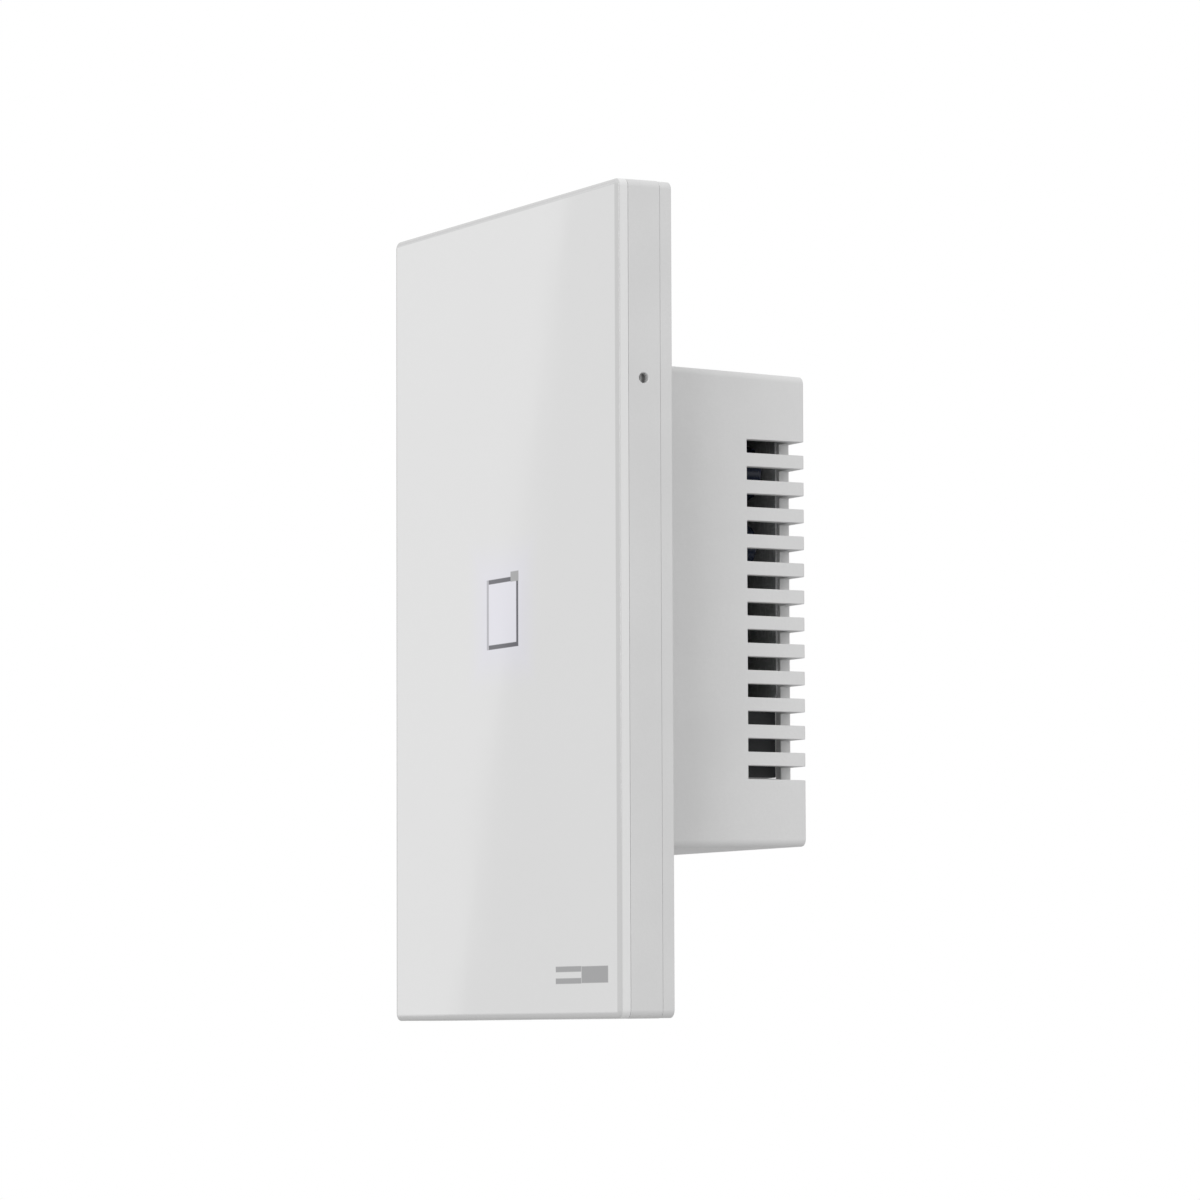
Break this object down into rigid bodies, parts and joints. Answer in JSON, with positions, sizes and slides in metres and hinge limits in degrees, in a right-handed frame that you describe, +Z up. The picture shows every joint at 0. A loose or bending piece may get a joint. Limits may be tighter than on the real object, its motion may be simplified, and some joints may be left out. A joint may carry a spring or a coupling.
{
  "type": "touch wall switch",
  "caption": "One-gang touch wall switch: glass front panel clipped to a mounting plate, with a vented housing behind it that holds a relay and wire terminals.",
  "frame": {"origin": "centre of the panel, in the plane of the wall behind the mounting plate", "axes": "+X to the right and +Z up as seen from the front, +Y into the wall"},
  "size_m": [0.074, 0.0385, 0.12],
  "materials": {
    "glass": "toughened glass printed white on its back",
    "shell": "satin moulded white plastic",
    "housing": "fine matt moulded white plastic",
    "tape": "black foam adhesive",
    "board": "green solder resist",
    "terminal_plastic": "dark moulded plastic",
    "black_plastic": "black moulded plastic",
    "brass": "plain stamped brass",
    "steel": "bright zinc plate",
    "light_guide": "milky clear plastic",
    "lamp": "clear resin",
    "copper": "enamelled copper wire",
    "bobbin": "grey moulded plastic",
    "capacitor_sleeve": "shrunk dark blue sleeve",
    "varistor_blue": "dipped blue resin",
    "ferrite": "sintered ferrite",
    "winding_tape": "yellow polyester tape",
    "fibre_sheet": "grey vulcanised fibre"
  },
  "bodies": {
    "base": {"board_screw_lower_left": "steel", "board_screw_lower_right": "steel", "board_screw_upper_left": "steel", "board_screw_upper_right": "steel", "bridge_rectifier": "black_plastic", "bulk_capacitor_1": "capacitor_sleeve", "bulk_capacitor_2": "capacitor_sleeve", "contact_plate_line": "brass", "contact_plate_load": "brass", "contact_plate_neutral": "brass", "driver_chip": "black_plastic", "fuse": "bobbin", "housing_screw_lower_left": "steel", "housing_screw_lower_right": "steel", "housing_screw_upper_left": "steel", "housing_screw_upper_right": "steel", "icon_led_left": "lamp", "icon_led_right": "lamp", "icon_light_guide": "light_guide", "insulation_sheet": "fibre_sheet", "latch_tongue_lower_left": "shell", "latch_tongue_lower_right": "shell", "latch_tongue_upper_left": "shell", "latch_tongue_upper_right": "shell", "link_header": "black_plastic", "link_socket": "black_plastic", "mounting_plate": "shell", "output_capacitor": "capacitor_sleeve", "power_board": "board", "radio_board": "black_plastic", "radio_shield": "steel", "rear_housing": "housing", "relay_base": "black_plastic", "relay_bobbin": "bobbin", "relay_coil": "copper", "relay_cover": "black_plastic", "relay_fixed_contact": "brass", "relay_yoke": "steel", "terminal_block": "terminal_plastic", "touch_board": "board", "touch_chip": "black_plastic", "touch_spring": "steel", "transformer_core": "ferrite", "transformer_winding": "winding_tape", "varistor": "varistor_blue"},
    "front_panel": {"panel_frame": "shell", "front_glass": "glass", "glass_tape": "tape"},
    "relay_armature": {"relay_armature": "steel", "relay_contact_spring": "brass"},
    "terminal_screw_line": {"terminal_screw_line": "steel"},
    "terminal_cage_line": {"terminal_cage_line": "brass"},
    "terminal_screw_neutral": {"terminal_screw_neutral": "steel"},
    "terminal_cage_neutral": {"terminal_cage_neutral": "brass"},
    "terminal_screw_load": {"terminal_screw_load": "steel"},
    "terminal_cage_load": {"terminal_cage_load": "brass"}
  },
  "joints": [
    {"name": "panel_pull_off", "type": "slide", "parent": "base", "child": "front_panel", "axis": [0, -1, 0], "range_m": [0, 0.03], "deforming": ["latch_tongue_lower_left", "latch_tongue_lower_right", "latch_tongue_upper_left", "latch_tongue_upper_right"]},
    {"name": "terminal_screw_line_turn", "type": "hinge", "parent": "base", "child": "terminal_screw_line", "pos_m": [-0.011, 0.0252, -0.0196], "axis": [0, -1, 0], "range_deg": [0, 1920]},
    {"name": "terminal_cage_line_lift", "type": "slide", "parent": "base", "child": "terminal_cage_line", "axis": [0, 1, 0], "range_m": [0, 0.0032]},
    {"name": "terminal_screw_neutral_turn", "type": "hinge", "parent": "base", "child": "terminal_screw_neutral", "pos_m": [0, 0.0252, -0.0196], "axis": [0, -1, 0], "range_deg": [0, 1920]},
    {"name": "terminal_cage_neutral_lift", "type": "slide", "parent": "base", "child": "terminal_cage_neutral", "axis": [0, 1, 0], "range_m": [0, 0.0032]},
    {"name": "terminal_screw_load_turn", "type": "hinge", "parent": "base", "child": "terminal_screw_load", "pos_m": [0.011, 0.0252, -0.0196], "axis": [0, -1, 0], "range_deg": [0, 1920]},
    {"name": "terminal_cage_load_lift", "type": "slide", "parent": "base", "child": "terminal_cage_load", "axis": [0, 1, 0], "range_m": [0, 0.0032]},
    {"name": "relay_armature_tilt", "type": "hinge", "parent": "base", "child": "relay_armature", "pos_m": [-0.0151, 0.022, 0.0002], "axis": [-1, 0, 0], "range_deg": [0, 3.4], "stiffness_Nm_per_rad": 0.01, "springref_deg": -8.59}
  ],
  "couplings": [
    {"joint": "terminal_screw_line_turn", "follows": "terminal_cage_line_lift", "rad_per_m": 10472},
    {"joint": "terminal_screw_neutral_turn", "follows": "terminal_cage_neutral_lift", "rad_per_m": 10472},
    {"joint": "terminal_screw_load_turn", "follows": "terminal_cage_load_lift", "rad_per_m": 10472}
  ]
}
